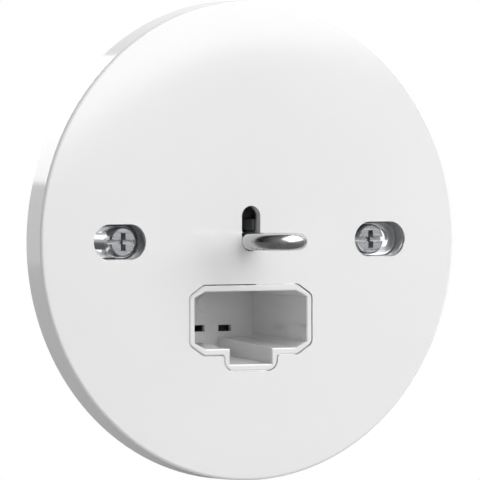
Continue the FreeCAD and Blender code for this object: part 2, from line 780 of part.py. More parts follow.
def make_hook():
    """A wire hook: cross head, straight shank, short neck and a ring that stops short of the shank."""
    body = new_body("hook")
    wire = S.wire_diameter / 2
    middle = (HEAD_TOP + HEAD_BOTTOM) / 2
    centre_x = -S.ring_shift
    centre_y = -(FACE + S.ring_height)
    reach = S.neck_radius + S.ring_radius
    neck_x = S.neck_radius
    neck_rise = root(reach * reach - (neck_x - centre_x) * (neck_x - centre_x))
    neck_y = centre_y + neck_rise
    blend = S.ring_radius / reach
    blend_x = centre_x + blend * (neck_x - centre_x)
    blend_y = centre_y + blend * neck_rise
    tip_x = centre_x + S.ring_radius * cosine(S.tip_angle)

    path = sketch_on(body, "wire_path", "XY_Plane", ZERO)
    up = FreeCAD.Vector(0, 0, 1)
    start = FreeCAD.Vector(0, -middle.value, 0)
    shank_end = FreeCAD.Vector(0, neck_y.value, 0)
    path.addGeometry(Part.LineSegment(start, shank_end), False)
    neck_circle = Part.Circle(FreeCAD.Vector(neck_x.value, neck_y.value, 0), up, S.neck_radius.value)
    neck_heading = math.atan2(blend_y.value - neck_y.value, blend_x.value - neck_x.value)
    if neck_heading < 0:
        neck_heading += 2 * math.pi
    path.addGeometry(Part.ArcOfCircle(neck_circle, math.pi, neck_heading), False)
    ring_circle = Part.Circle(FreeCAD.Vector(centre_x.value, centre_y.value, 0), up, S.ring_radius.value)
    ring_start = math.atan2(blend_y.value - centre_y.value, blend_x.value - centre_x.value)
    ring_end = -math.radians(S.tip_angle.value)
    path.addGeometry(Part.ArcOfCircle(ring_circle, ring_end, ring_start), False)
    pin(path, 0, 1, 0, -middle)
    path.addConstraint(Sketcher.Constraint("Vertical", 0))
    path.addConstraint(Sketcher.Constraint("Tangent", 0, 2, 1, 1))
    path.addConstraint(Sketcher.Constraint("Tangent", 1, 2, 2, 2))
    dimension(path, "Radius", 1, size=S.neck_radius)
    dimension(path, "Radius", 2, size=S.ring_radius)
    pin(path, 2, 3, centre_x, centre_y)
    dimension(path, "DistanceX", -1, 1, 2, 1, size=tip_x)

    section = sketch_on(body, "wire_section", "XZ_Plane", middle)
    circle(0, 0, wire)(section)
    pipe = body.newObject("PartDesign::AdditivePipe", "wire")
    pipe.Profile = section
    pipe.Spine = path
    settle(body, pipe)
    tip = FreeCAD.Vector(
        tip_x.value, centre_y.value + S.ring_radius.value * math.sin(-math.radians(S.tip_angle.value)), 0
    )
    tip_edges = edges_where(body, lambda edge: (edge.BoundBox.Center - tip).Length < 1e-2)
    ease_edges(body, "tip_edge", "Fillet", tip_edges, S.tip_rounding)
    half_head = S.head_length / 2 - wire
    add_prism(body, "cross_head", [obround((-half_head, 0), (half_head, 0), wire)], HEAD_BOTTOM, HEAD_TOP)
    return body


def make_hook_spring():
    """A bowed leaf between the hook's cross head and the floor of its chamber."""
    body = new_body("hook_spring")
    crest = HEAD_BOTTOM - S.head_play
    rise = crest - S.leaf_thickness - CHAMBER_FLOOR
    half = CHAMBER_RADIUS - S.leaf_end_gap
    inner = (half * half + rise * rise) / (2 * rise)
    radius = inner + S.leaf_thickness
    centre_y = -crest + radius
    sketch = sketch_on(body, "leaf_outline", "YZ_Plane", -S.leaf_width / 2)
    up = FreeCAD.Vector(0, 0, 1)
    centre = FreeCAD.Vector(centre_y.value, 0, 0)
    spread = math.asin(half.value / radius.value)
    inner_spread = math.asin(half.value / inner.value)
    outer_circle = Part.Circle(centre, up, radius.value)
    outer_arc = Part.ArcOfCircle(outer_circle, math.pi - spread, math.pi + spread)
    inner_circle = Part.Circle(centre, up, inner.value)
    inner_arc = Part.ArcOfCircle(inner_circle, math.pi - inner_spread, math.pi + inner_spread)
    sketch.addGeometry(outer_arc, False)
    sketch.addGeometry(inner_arc, False)
    for end in (1, 2):
        ends = [arc.StartPoint if end == 1 else arc.EndPoint for arc in (outer_arc, inner_arc)]
        line = sketch.addGeometry(Part.LineSegment(*ends), False)
        sketch.addConstraint(Sketcher.Constraint("Coincident", line, 1, 0, end))
        sketch.addConstraint(Sketcher.Constraint("Coincident", line, 2, 1, end))
    for arc, arc_radius in ((0, radius), (1, inner)):
        pin(sketch, arc, 3, centre_y, 0)
        dimension(sketch, "Radius", arc, size=arc_radius)
        dimension(sketch, "DistanceY", -1, 1, arc, 1, size=half)
        dimension(sketch, "DistanceY", -1, 1, arc, 2, size=-half)
    feature = body.newObject("PartDesign::Pad", "leaf")
    feature.Profile = sketch
    feature.setExpression("Length", S.leaf_width.formula)
    settle(body, feature)
    return body


def make_fixing_screws():
    """Two ceiling screws with a slot and a cross bar in each head."""
    head = S.screw_head_diameter / 2
    neck = S.screw_neck_diameter / 2
    shank = S.screw_diameter / 2
    top = CUP_FLOOR + S.screw_head_height
    end = CUP_FLOOR - S.screw_length
    profile = [
        (0, top),
        (head - S.screw_head_dome, top),
        (head, top - S.screw_head_dome),
        (head, CUP_FLOOR),
        (neck, CUP_FLOOR),
        (neck, CUP_BOTTOM - S.screw_neck_gap),
        (shank, CUP_BOTTOM - S.screw_neck_gap),
        (shank, end + S.screw_point),
        (0, end),
    ]
    screws = []
    for side in (-1, 1):
        body = new_body("fixing_screw")
        revolved(body, "turned_form", profile)
        half_slot = S.drive_slot_width / 2
        slot = rectangle(-head - S.screw_play, head + S.screw_play, -half_slot, half_slot)
        cut_prism(body, "drive_slot", [slot], top - S.drive_slot_depth, top)
        half_bar = S.drive_cross_width / 2
        half_length = S.drive_cross_length / 2
        cross = rectangle(-half_bar, half_bar, -half_length, half_length)
        cut_prism(body, "drive_cross", [cross], top - S.drive_cross_depth, top)
        body.setExpression("Placement.Base.x", (side * S.screw_spacing / 2).formula)
        screws.append(body)
    return group("fixing_screws", screws)


def group(name, members):
    """Several like solids that are kept as one sub-part."""
    together = doc.addObject("Part::Compound", name)
    together.Label = name
    together.Links = members
    return together


def make_socket():
    """The white insert with the plug's cavity, its floor and two ears under the bridge."""
    body = new_body("socket_housing")
    outline = socket_outline(ZERO)
    add_prism(body, "shell", [polygon(outline)], SOCKET_REAR, FACE)
    round_outline(body, outline, SOCKET_REAR, FACE, ZERO)
    sections = []
    for level, narrow, low, high, run, rise in (
        (FACE, ZERO, ZERO, ZERO, S.cavity_corner_run, S.cavity_corner_rise),
        (CAVITY_FLOOR, S.width_draft, S.bottom_draft, S.top_draft, S.floor_corner_run, S.floor_corner_rise),
    ):
        section = sketch_on(body, "cavity_section", "XZ_Plane", level)
        polygon(
            keyed_outline(
                SOCKET_HALF - S.socket_wall - narrow,
                SOCKET_BOTTOM + S.socket_wall + low,
                SOCKET_TOP - S.socket_wall - high,
                run,
                rise,
                S.key_width / 2 - S.socket_wall - narrow,
                SOCKET_BOTTOM - S.key_depth + S.socket_wall + low,
            )
        )(section)
        sections.append(section)
    before = body.Tip.Shape.Volume
    loft = body.newObject("PartDesign::SubtractiveLoft", "cavity")
    loft.Profile = sections[0]
    loft.Sections = [sections[1]]
    loft.Ruled = True
    check_cut(body, loft, before)
    rims = edges_where(body, lambda edge: at_level(edge, FACE))
    ease_edges(body, "rim_edges", "Chamfer", rims, S.rim_chamfer)
    boss = circle(S.floor_boss_across, SOCKET_MIDDLE + S.floor_boss_up, S.floor_boss_radius)
    add_prism(body, "floor_boss", [boss], CAVITY_FLOOR, CAVITY_FLOOR + S.floor_boss_height)
    half_slot = S.blade_slot_width / 2
    half_gap = S.blade_slot_height / 2
    slots = []
    low, high = BLADE_ROW - half_gap, BLADE_ROW + half_gap
    for step in (-1, 0, 1):
        place = step * S.blade_pitch
        slots.append(rectangle(place - half_slot, place + half_slot, low, high))
    cut_prism(body, "blade_slots", slots, SOCKET_REAR, CAVITY_FLOOR)
    ears = []
    lugs = []
    root_x = SOCKET_HALF - S.socket_wall / 2
    lug_end = SOCKET_HALF + S.snap_lug
    half_lug = S.snap_window_width / 2 - S.snap_play
    low, high = SOCKET_MIDDLE - half_lug, SOCKET_MIDDLE + half_lug
    for side in (-1, 1):
        ears.append(rectangle(side * root_x, side * EAR_END, SOCKET_MIDDLE, EAR_SCREW_UP + S.ear_edge))
        lugs.append(rectangle(side * root_x, side * lug_end, low, high))
    add_prism(body, "ears", ears, EAR_BOTTOM, PLATE_BOTTOM)
    lug_low = SOCKET_REAR + S.snap_length - S.snap_wall - S.snap_window_length + S.snap_play
    lug_high = SOCKET_REAR + S.snap_length - S.snap_wall - S.snap_play
    add_prism(body, "snap_lugs", lugs, lug_low, lug_high)
    ease_edges(body, "lug_ramps", "Chamfer", edges_along_z(body, lug_end, lug_low), S.lug_ramp)
    clear_radius = S.small_screw_diameter / 2 + S.screw_play
    holes = [circle(place, EAR_SCREW_UP, clear_radius) for place in both_sides(EAR_SCREW_PLACE)]
    cut_prism(body, "ear_holes", holes, EAR_BOTTOM, PLATE_BOTTOM)
    return body


def make_housing_screws():
    """Two pan head screws that hold the socket's ears up to the bridge."""
    head = S.small_head_diameter / 2
    shank = S.small_screw_diameter / 2
    head_rear = EAR_BOTTOM - S.small_head_height
    profile = [
        (0, head_rear),
        (head, head_rear),
        (head, EAR_BOTTOM),
        (shank, EAR_BOTTOM),
        (shank, PLATE_TOP - S.thread_play),
        (0, PLATE_TOP - S.thread_play),
    ]
    screws = []
    for side in (-1, 1):
        body = new_body("housing_screw")
        revolved(body, "turned_form", profile)
        half_slot = S.small_slot_width / 2
        slot = rectangle(-head - S.screw_play, head + S.screw_play, -half_slot, half_slot)
        cut_prism(body, "drive_slot", [slot], head_rear, head_rear + S.small_slot_depth)
        body.setExpression("Placement.Base.x", (side * EAR_SCREW_PLACE).formula)
        body.setExpression("Placement.Base.z", EAR_SCREW_UP.formula)
        screws.append(body)
    return group("housing_screws", screws)


def make_block():
    """The moulding behind the bridge: hook chamber in front, three pole compartments behind."""
    body = new_body("terminal_block")
    half = BLOCK_HALF
    inner = BLOCK_INNER
    side_view = [
        (-BLOCK_FRONT, BLOCK_TOP),
        (-BLOCK_FRONT, BLOCK_SHELF),
        (-SOCKET_REAR, BLOCK_SHELF),
        (-SOCKET_REAR, BLOCK_LOW),
        (-BLOCK_REAR, BLOCK_LOW),
        (-BLOCK_REAR, BLOCK_TOP),
    ]
    add_prism(body, "form", [polygon(side_view)], -half, half, role="YZ_Plane")
    places = [(side * half, up) for side in (-1, 1) for up in (BLOCK_LOW, BLOCK_TOP)]
    corners = edges_along_y(body, places, BLOCK_REAR, BLOCK_FRONT)
    ease_edges(body, "form_corners", "Fillet", corners, S.block_corner)
    low_inside = BLOCK_LOW + S.block_wall
    shelf_inside = BLOCK_SHELF + S.block_wall
    top_inside = BLOCK_TOP - S.block_wall
    room = rectangle(-inner, inner, shelf_inside, top_inside)
    cut_prism(body, "terminal_room", [room], BLOCK_REAR, TERMINAL_FRONT)
    room = rectangle(-inner, inner, low_inside, shelf_inside)
    cut_prism(body, "contact_room", [room], BLOCK_REAR, SOCKET_REAR)
    wall = S.partition_wall / 2
    upper = []
    lower = []
    for side in (-1, 1):
        high_x = side * POLE_PITCH / 2
        low_x = side * S.blade_pitch / 2
        upper.append(rectangle(high_x - wall, high_x + wall, shelf_inside - wall, top_inside + wall))
        lower.append(
            polygon(
                [
                    (low_x - wall, low_inside - wall),
                    (low_x + wall, low_inside - wall),
                    (high_x + wall, shelf_inside),
                    (high_x - wall, shelf_inside),
                ]
            )
        )
    add_prism(body, "terminal_partitions", upper, BLOCK_REAR, TERMINAL_FRONT)
    add_prism(body, "contact_partitions", lower, BLOCK_REAR, SOCKET_REAR)
    bar = rectangle(-inner, inner, S.terminal_height - S.seat_bar_half, S.terminal_height + S.seat_bar_half)
    add_prism(body, "spring_seat_bar", [bar], SPRING_SEAT, SPRING_SEAT + S.seat_bar_depth)
    rise = (0, HOOK_SLOT_RISE)
    boss = obround((0, 0), rise, CHAMBER_RADIUS + S.chamber_wall)
    add_prism(body, "chamber_boss", [boss], BLOCK_FRONT, CHAMBER_RIM)
    cut_prism(body, "chamber", [obround((0, 0), rise, CHAMBER_RADIUS)], CHAMBER_FLOOR, CHAMBER_RIM)
    near = S.wire_diameter / 2 + S.stop_play
    far = CHAMBER_RADIUS - S.stop_inset
    stops = [rectangle(sign * near, sign * far, sign * near, sign * far) for sign in (-1, 1)]
    add_prism(body, "turn_stops", stops, CHAMBER_FLOOR, CHAMBER_RIM)
    arms = []
    roots = []
    windows = []
    arm_inner = SOCKET_HALF + S.snap_play
    arm_root = half - S.block_wall / 2
    arm_outer = arm_inner + S.snap_wall
    half_arm = S.snap_width / 2
    half_window = S.snap_window_width / 2
    half_lug = half_window - S.snap_play
    lugs = []
    for side in (-1, 1):
        low, high = SOCKET_MIDDLE - half_arm, SOCKET_MIDDLE + half_arm
        arms.append(rectangle(side * arm_inner, side * arm_outer, low, high))
        roots.append(rectangle(side * arm_root, side * arm_outer, low, high))
        low, high = SOCKET_MIDDLE - half_window, SOCKET_MIDDLE + half_window
        windows.append(rectangle(side * arm_root, side * (arm_outer + S.snap_wall), low, high))
        for place in TAB_PLACES:
            lug_end = side * (half + S.snap_lug)
            lugs.append(rectangle(side * arm_root, lug_end, place - half_lug, place + half_lug))
    arm_high = SOCKET_REAR + S.snap_length
    arm_low = SOCKET_REAR - S.snap_length / 2
    add_prism(body, "snap_arms", arms, arm_low, arm_high)
    add_prism(body, "arm_roots", roots, arm_low, SOCKET_REAR)
    window_high = arm_high - S.snap_wall
    cut_prism(body, "snap_windows", windows, window_high - S.snap_window_length, window_high)
    lug_low, lug_high = tab_window_levels()
    add_prism(body, "cover_lugs", lugs, lug_low + S.snap_play, lug_high - S.snap_play)
    ramps = edges_along_z(body, half + S.snap_lug, lug_low + S.snap_play)
    ease_edges(body, "lug_ramps", "Chamfer", ramps, S.lug_ramp)
    half_strap = S.strap_width / 2 + S.screw_play
    notch = rectangle(-half_strap, half_strap, top_inside - S.strap_sheet, BLOCK_TOP + S.strap_sheet)
    cut_prism(
        body, "strap_notch", [notch], STRAP_REAR - S.screw_play, STRAP_REAR + S.strap_sheet + S.screw_play
    )
    return body


def tab_window_levels():
    """Lowest and highest level of the windows in the terminal cover's tabs."""
    high = REAR_OUTSIDE + S.snap_length - S.snap_wall
    return high - S.snap_window_length, high


def make_terminal_cover():
    """The rear plate with wire holes, button windows and four snap tabs."""
    body = new_body("terminal_cover")
    half = BLOCK_HALF
    side_face = half + S.snap_wall
    plate = rectangle(-side_face, side_face, BLOCK_LOW, BLOCK_TOP)
    add_prism(body, "plate", [plate], REAR_OUTSIDE, BLOCK_REAR)
    places = [(side * side_face, up) for side in (-1, 1) for up in (BLOCK_LOW, BLOCK_TOP)]
    corners = edges_along_y(body, places, REAR_OUTSIDE, BLOCK_REAR)
    ease_edges(body, "plate_corners", "Fillet", corners, S.plate_corner)
    tabs = []
    windows = []
    half_tab = S.snap_width / 2
    half_window = S.snap_window_width / 2
    for side in (-1, 1):
        inner = side * (half + S.snap_play)
        outer = side * side_face
        window_end = outer + side * S.snap_play
        for place in TAB_PLACES:
            tabs.append(rectangle(inner, outer, place - half_tab, place + half_tab))
            windows.append(rectangle(side * half, window_end, place - half_window, place + half_window))
    add_prism(body, "tabs", tabs, REAR_OUTSIDE, REAR_OUTSIDE + S.snap_length)
    lead_ins = edges_along_z(body, half + S.snap_play, REAR_OUTSIDE + S.snap_length)
    ease_edges(body, "tab_lead_ins", "Chamfer", lead_ins, S.tab_lead)
    low, high = tab_window_levels()
    cut_prism(body, "tab_windows", windows, low, high)
    buttons = []
    holes = []
    half_width = S.button_width / 2 + S.button_window_play
    half_height = S.button_height / 2 + S.button_window_play
    middle = S.terminal_height
    for step in (-1, 0, 1):
        place = step * POLE_PITCH
        low, high = middle - half_height, middle + half_height
        buttons.append(rectangle(place - half_width, place + half_width, low, high))
        for shift in both_sides(S.terminal_reach - S.wire_inset):
            holes.append(circle(place, middle + shift, S.wire_hole_radius))
    cut_prism(body, "button_windows", buttons, REAR_OUTSIDE, BLOCK_REAR)
    cut_prism(body, "wire_holes", holes, REAR_OUTSIDE, BLOCK_REAR)

    def wire_mouth(edge):
        size = edge.BoundBox.XLength / 2
        return at_level(edge, REAR_OUTSIDE) and abs(size - S.wire_hole_radius.value) < 1e-3

    ease_edges(body, "wire_funnels", "Chamfer", edges_where(body, wire_mouth), S.wire_hole_funnel)
    return body


def make_contact(name, step):
    """One pole's stamped strip: a U for two conductors, a run down and a fork for the plug's blade."""
    body = new_body(name)
    middle = S.terminal_height
    place = step * POLE_PITCH
    blade = step * S.blade_pitch
    half = S.contact_width / 2
    reach = S.terminal_reach
    edge = reach + S.strip
    web_rear = TERMINAL_FRONT - S.strip
    cradle = [
        (-TERMINAL_FRONT, middle + edge),
        (-TERMINAL_END, middle + edge),
        (-TERMINAL_END, middle + reach),
        (-web_rear, middle + reach),
        (-web_rear, middle - reach),
        (-RUN_REAR, middle - reach),
        (-RUN_REAR, middle - edge),
        (-TERMINAL_FRONT, middle - edge),
    ]
    add_prism(body, "cradle", [polygon(cradle)], place - half, place + half, role="YZ_Plane")
    inside = [(web_rear, middle + side * reach) for side in (-1, 1)]
    outside = [(TERMINAL_FRONT, middle + side * edge) for side in (-1, 1)]
    bend(body, "cradle_bends", inside, outside, S.strip_bend, S.strip)
    fork_half = S.fork_width / 2
    base = S.fork_base_gap / 2 + S.fork_leaf
    run = [
        (place - half, middle - reach),
        (blade - fork_half, BLADE_ROW + base),
        (blade - fork_half, BLADE_ROW - base),
        (blade + fork_half, BLADE_ROW - base),
        (blade + fork_half, BLADE_ROW + base),
        (place + half, middle - reach),
    ]
    add_prism(body, "run", [polygon(run)], RUN_REAR, TERMINAL_END)
    pinch = FORK_TIP - S.fork_pinch
    leaves = []
    for side in (-1, 1):
        leaf = [
            (TERMINAL_END - S.strip / 2, S.fork_base_gap / 2),
            (pinch, S.fork_gap / 2),
            (FORK_TIP, S.fork_mouth / 2),
            (FORK_TIP, S.fork_mouth / 2 + S.fork_leaf),
            (pinch, S.fork_gap / 2 + S.fork_leaf),
            (TERMINAL_END - S.strip / 2, base),
        ]
        leaves.append(polygon([(-out, BLADE_ROW + side * apart) for out, apart in leaf]))
    add_prism(body, "fork", leaves, blade - fork_half, blade + fork_half, role="YZ_Plane")
    return body


def make_clamp_spring(name, step):
    """One pole's clamp spring: two legs that spread from a bight and press both conductors outwards."""
    body = new_body(name)
    middle = S.terminal_height
    place = step * POLE_PITCH
    tip = S.terminal_reach - S.spring_play
    bight = S.spring_bight
    front = TERMINAL_FRONT - S.strip - S.spring_front_gap
    thick = S.spring_sheet
    length = front - SPRING_REAR
    spread = tip - bight
    across = thick * root(length * length + spread * spread) / length
    inner_bight = bight - across + thick * spread / length
    outline = [
        (front, -tip),
        (SPRING_REAR, -bight),
        (SPRING_REAR, bight),
        (front, tip),
        (front, tip - across),
        (SPRING_SEAT, inner_bight),
        (SPRING_SEAT, -inner_bight),
        (front, across - tip),
    ]
    corners = [(-out, middle + apart) for out, apart in outline]
    half = S.contact_width / 2 - S.spring_inset
    add_prism(body, "leaf", [polygon(corners)], place - half, place + half, role="YZ_Plane")
    inside = [(SPRING_SEAT, middle + side * inner_bight) for side in (-1, 1)]
    outside = [(SPRING_REAR, middle + side * bight) for side in (-1, 1)]
    bend(body, "bight_bends", inside, outside, S.spring_bend, thick)
    return body


def make_button(name, step):
    """One pole's release button, whose two prongs push the spring's legs inwards."""
    body = new_body(name)
    middle = S.terminal_height
    place = step * POLE_PITCH
    half_width = S.button_width / 2
    half_height = S.button_height / 2
    prong_tip = SPRING_REAR - S.button_travel - S.prong_clear
    head = rectangle(place - half_width, place + half_width, middle - half_height, middle + half_height)
    add_prism(body, "head", [head], BUTTON_REAR, COLLAR_FRONT)
    rim = edges_where(body, lambda edge: at_level(edge, BUTTON_REAR))
    ease_edges(body, "head_edges", "Fillet", rim, S.button_rounding)
    half_groove = S.button_groove_width / 2
    half_length = S.button_groove_length / 2
    groove = rectangle(place - half_length, place + half_length, middle - half_groove, middle + half_groove)
    cut_prism(body, "driver_groove", [groove], BUTTON_REAR, BUTTON_REAR + S.button_groove_depth)
    prong_end = S.spring_bight + S.spring_sheet + S.prong_width
    side_face = half_width + S.button_collar
    collar = rectangle(place - side_face, place + side_face, middle - prong_end, middle + prong_end)
    add_prism(body, "collar", [collar], COLLAR_REAR, COLLAR_FRONT)
    prongs = []
    for side in (-1, 1):
        near = middle + side * (prong_end - S.prong_width)
        far = middle + side * prong_end
        prongs.append(rectangle(place - half_width, place + half_width, near, far))
    add_prism(body, "prongs", prongs, COLLAR_REAR, prong_tip)
    return body


def make_earth_strap():
    """A folded strip from the earth contact to the tab of the bridge."""
    body = new_body("earth_strap")
    sheet_metal = S.strap_sheet
    near = BLOCK_TOP + S.strap_gap
    far = near + sheet_metal
    foot_end = RIVET_PLACE - S.strap_foot_margin
    contact_edge = S.terminal_height + S.terminal_reach + S.strip
    outline = [
        (PLATE_BOTTOM, foot_end),
        (PLATE_BOTTOM, far),
        (STRAP_REAR, far),
        (STRAP_REAR, contact_edge),
        (STRAP_REAR + sheet_metal, contact_edge),
        (STRAP_REAR + sheet_metal, near),
        (PLATE_BOTTOM - sheet_metal, near),
        (PLATE_BOTTOM - sheet_metal, foot_end),
    ]
    corners = [(-out, up) for out, up in outline]
    half = S.strap_width / 2
    add_prism(body, "strip", [polygon(corners)], -half, half, role="YZ_Plane")
    inside = [(PLATE_BOTTOM - sheet_metal, near), (STRAP_REAR + sheet_metal, near)]
    outside = [(PLATE_BOTTOM, far), (STRAP_REAR, far)]
    bend(body, "strap_bends", inside, outside, S.strap_bend, sheet_metal)
    hole = circle(0, RIVET_PLACE, S.rivet_radius + S.thread_play)
    cut_prism(body, "rivet_hole", [hole], PLATE_BOTTOM - sheet_metal, PLATE_BOTTOM)
    return body


def make_earth_rivet():
    """A rivet through strap and tab, flared flush into the tab's countersink."""
    body = new_body("earth_rivet")
    strap_rear = PLATE_BOTTOM - S.strap_sheet
    profile = [
        (0, strap_rear - S.rivet_head_height),
        (S.rivet_head_radius, strap_rear - S.rivet_head_height),
        (S.rivet_head_radius, strap_rear),
        (S.rivet_radius, strap_rear),
        (S.rivet_radius, PLATE_TOP - S.rivet_flare),
        (S.rivet_radius + S.rivet_flare, PLATE_TOP),
        (0, PLATE_TOP),
    ]
    revolved(body, "turned_form", profile)
    body.setExpression("Placement.Base.z", RIVET_PLACE.formula)
    return body


sub_parts = [
    make_cover(),
    make_bridge(),
    make_hook(),
    make_hook_spring(),
    make_fixing_screws(),
    make_socket(),
    make_housing_screws(),
    make_block(),
    make_terminal_cover(),
    make_earth_strap(),
    make_earth_rivet(),
]
for pole, pole_step in (("neutral", -1), ("earth", 0), ("line", 1)):
    sub_parts.append(make_contact(f"{pole}_contact", pole_step))
    sub_parts.append(make_clamp_spring(f"{pole}_clamp_spring", pole_step))
    sub_parts.append(make_button(f"{pole}_release_button", pole_step))

doc.recompute()
for item in doc.Objects:
    if "Invalid" in item.State or "Error" in item.State:
        raise RuntimeError(f"{item.Label} failed: {item.State}")
for item in sub_parts:
    if item.Shape.isNull() or not item.Shape.isValid():
        raise RuntimeError(f"{item.Label} has no valid shape")

os.makedirs("parts", exist_ok=True)
for item in sub_parts:
    item.Shape.exportStep(f"parts/{item.Label}.step")
    print(item.Label, len(item.Shape.Solids), round(item.Shape.Volume, 2))
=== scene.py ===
"""Looks of the ceiling rose: materials, light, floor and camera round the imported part."""
import math

import bpy
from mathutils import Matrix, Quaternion, Vector

MM = 0.001
WHITE = (1.0, 1.0, 1.0, 1.0)

# Textures, in cells to the metre.
PLASTIC_SHADING = 38.0
PLASTIC_SKIN = 900.0
MOULD_FLOW = 55.0
SPARKED_GRAIN = 2600.0
ZINC_CLOUDS = 160.0
ZINC_GRAIN = 3400.0
ROLLING_LINES = 1400.0
CHROME_WIPES = 420.0
STRIP_PATCHES = 120.0
STRIP_LINES = 1800.0

# How far textures are drawn out along an axis: a small value makes long marks.
ALONG_FLOW = (1.0, 0.45, 1.0)
ALONG_ROLLING = (0.05, 1.0, 1.0)
ALONG_WIPES = (1.0, 0.25, 1.0)
STRIP_UP = (1.0, 1.0, 0.06)
STRIP_DEEP = (1.0, 0.06, 1.0)

# A texture's middle range, which is spread over the whole range of what it varies.
TEXTURE_LOW = 0.3
TEXTURE_HIGH = 0.7

# Lowest and highest roughness, as shares of a material's roughness.
SKIN_ROUGHNESS = (0.88, 1.15)
GRAIN_ROUGHNESS = (0.85, 1.2)
ZINC_ROUGHNESS = (0.75, 1.0)
ZINC_LINE_ROUGHNESS = (0.0, 0.35)
WIPE_ROUGHNESS = (0.7, 1.6)
STRIP_ROUGHNESS = (0.8, 1.0)
STRIP_LINE_ROUGHNESS = 0.12

# Heights of the surfaces' relief in metres, and how strongly each shows.
SKIN_RELIEF = 0.000004
SKIN_STRENGTH = 0.35
GRAIN_RELIEF = 0.00002
GRAIN_STRENGTH = 0.6
ZINC_STRENGTH = 0.3
WIPE_RELIEF = 0.000002
WIPE_STRENGTH = 0.2
STRIP_RELIEF = 0.000005
STRIP_STRENGTH = 0.5

FLOOR_LEVEL = -0.15
FLOOR_RADIUS = 1.4
FLOOR_STEPS = 96
FLOOR_CLEAR = 0.75
FLOOR_FADED = 0.97 * FLOOR_RADIUS
FLOOR_ROUGHNESS = 0.8
FLOOR_PALE = 0.66
FLOOR_INDIRECT = 0.42
FLOOR_GLOSS = 0.11

# The white wall behind: its light, and the depths of direction between which it sets in.
BACK_GLOW = 0.9
BACK_START = -0.3
BACK_END = 0.4
GLOSS_SHIFT = -0.55

# The room in front: its light, the share that gloss shows, and where it glows most.
ROOM_GLOW = 0.85
ROOM_GLOSS_SHARE = 0.32
ROOM_START = -0.3
ROOM_END = 0.8
ROOM_TOWARDS = (0.50, -0.85, 0.15)

CAMERA_AZIMUTH = 30.7
CAMERA_ELEVATION = 1.2
CAMERA_DISTANCE = 2.0
PIXELS = 480.0
PIXELS_PER_MM = 4.8
SENSOR = 36.0
AIM = Vector((0.0, -6.6 * MM, 0.13 * MM))
AIM_LEFT = 2.31 * MM
CLIP_START = 0.05
CLIP_END = 20.0

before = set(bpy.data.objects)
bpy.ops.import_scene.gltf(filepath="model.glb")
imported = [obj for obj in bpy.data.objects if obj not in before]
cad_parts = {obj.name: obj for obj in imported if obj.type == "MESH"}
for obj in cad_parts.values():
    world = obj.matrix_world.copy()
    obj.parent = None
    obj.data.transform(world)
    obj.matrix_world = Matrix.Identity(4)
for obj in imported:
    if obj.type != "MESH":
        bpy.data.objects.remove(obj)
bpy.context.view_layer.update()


class Tree:
    """The nodes of a material or of the world, with short ways to add and join them."""

    def __init__(self, owner):
        owner.use_nodes = True
        self.nodes = owner.node_tree.nodes
        self.links = owner.node_tree.links

    def give(self, socket, value):
        """Join a socket to another node's output, or set it to a constant."""
        if isinstance(value, bpy.types.NodeSocket):
            self.links.new(value, socket)
        else:
            socket.default_value = value

    def add(self, kind, values, **settings):
        """A new node with its settings, and with the values of its inputs by name or number."""
        node = self.nodes.new(kind)
        for name, value in settings.items():
            setattr(node, name, value)
        for key, value in values.items():
            self.give(node.inputs[key], value)
        return node

    def map_range(self, value, low, high, start=0.0, end=1.0, kind="LINEAR"):
        """A value between start and end, brought to between low and high."""
        values = {"Value": value, "From Min": start, "From Max": end, "To Min": low, "To Max": high}
        return self.add("ShaderNodeMapRange", values, interpolation_type=kind).outputs["Result"]

    def calculate(self, operation, *values):
        node = self.add("ShaderNodeMath", dict(enumerate(values)), operation=operation)
        return node.outputs["Value"]

    def mix(self, share, first, second):
        """Two shaders mixed: only the first at share 0, only the second at share 1."""
        return self.add("ShaderNodeMixShader", {"Fac": share, 1: first, 2: second}).outputs["Shader"]


class Finish(Tree):
    """A material, with the textures that vary it."""

    def __init__(self, name):
        self.material = bpy.data.materials.new(name)
        super().__init__(self.material)
        self.shader = self.nodes["Principled BSDF"]
        self.place = self.nodes.new("ShaderNodeTexCoord").outputs["Object"]

    def shade(self, **values):
        """Set or join the shader's own inputs, named as they are there but with underscores for spaces."""
        for name, value in values.items():
            self.give(self.shader.inputs[name.replace("_", " ")], value)

    def stretched(self, scale):
        """The object's coordinates, scaled along each axis."""
        return self.add("ShaderNodeMapping", {"Vector": self.place, "Scale": scale}).outputs["Vector"]

    def noise(self, cells, detail=3.0, roughness=0.5, vector=None, distortion=0.0):
        values = {
            "Vector": vector or self.place,
            "Scale": cells,
            "Detail": detail,
            "Roughness": roughness,
            "Distortion": distortion,
        }
        return self.add("ShaderNodeTexNoise", values).outputs["Fac"]

    def spread(self, texture, low, high):
        """Bring a texture's middle range to the given values."""
        return self.map_range(texture, low, high, TEXTURE_LOW, TEXTURE_HIGH)

    def vary(self, texture, value, shares):
        """A value that follows a texture between two shares of itself."""
        low, high = shares
        return self.spread(texture, value * low, value * high)

    def ramp(self, texture, stops):
        """Colours that follow a texture, given as places and colours."""
        node = self.add("ShaderNodeValToRGB", {"Fac": texture})
        elements = node.color_ramp.elements
        while len(elements) < len(stops):
            elements.new(0.5)
        for element, (position, colour) in zip(elements, stops):
            element.position = position
            element.color = (*colour, 1.0)
        return node.outputs["Color"]

    def bump(self, height, distance, strength):
        values = {"Height": height, "Distance": distance, "Strength": strength}
        self.shade(Normal=self.add("ShaderNodeBump", values).outputs["Normal"])


def dimmed(colour, *shares):
    """A colour times one share, or each of its parts times its own."""
    if len(shares) == 1:
        shares = shares * len(colour)
    return tuple(share * part for share, part in zip(shares, colour))


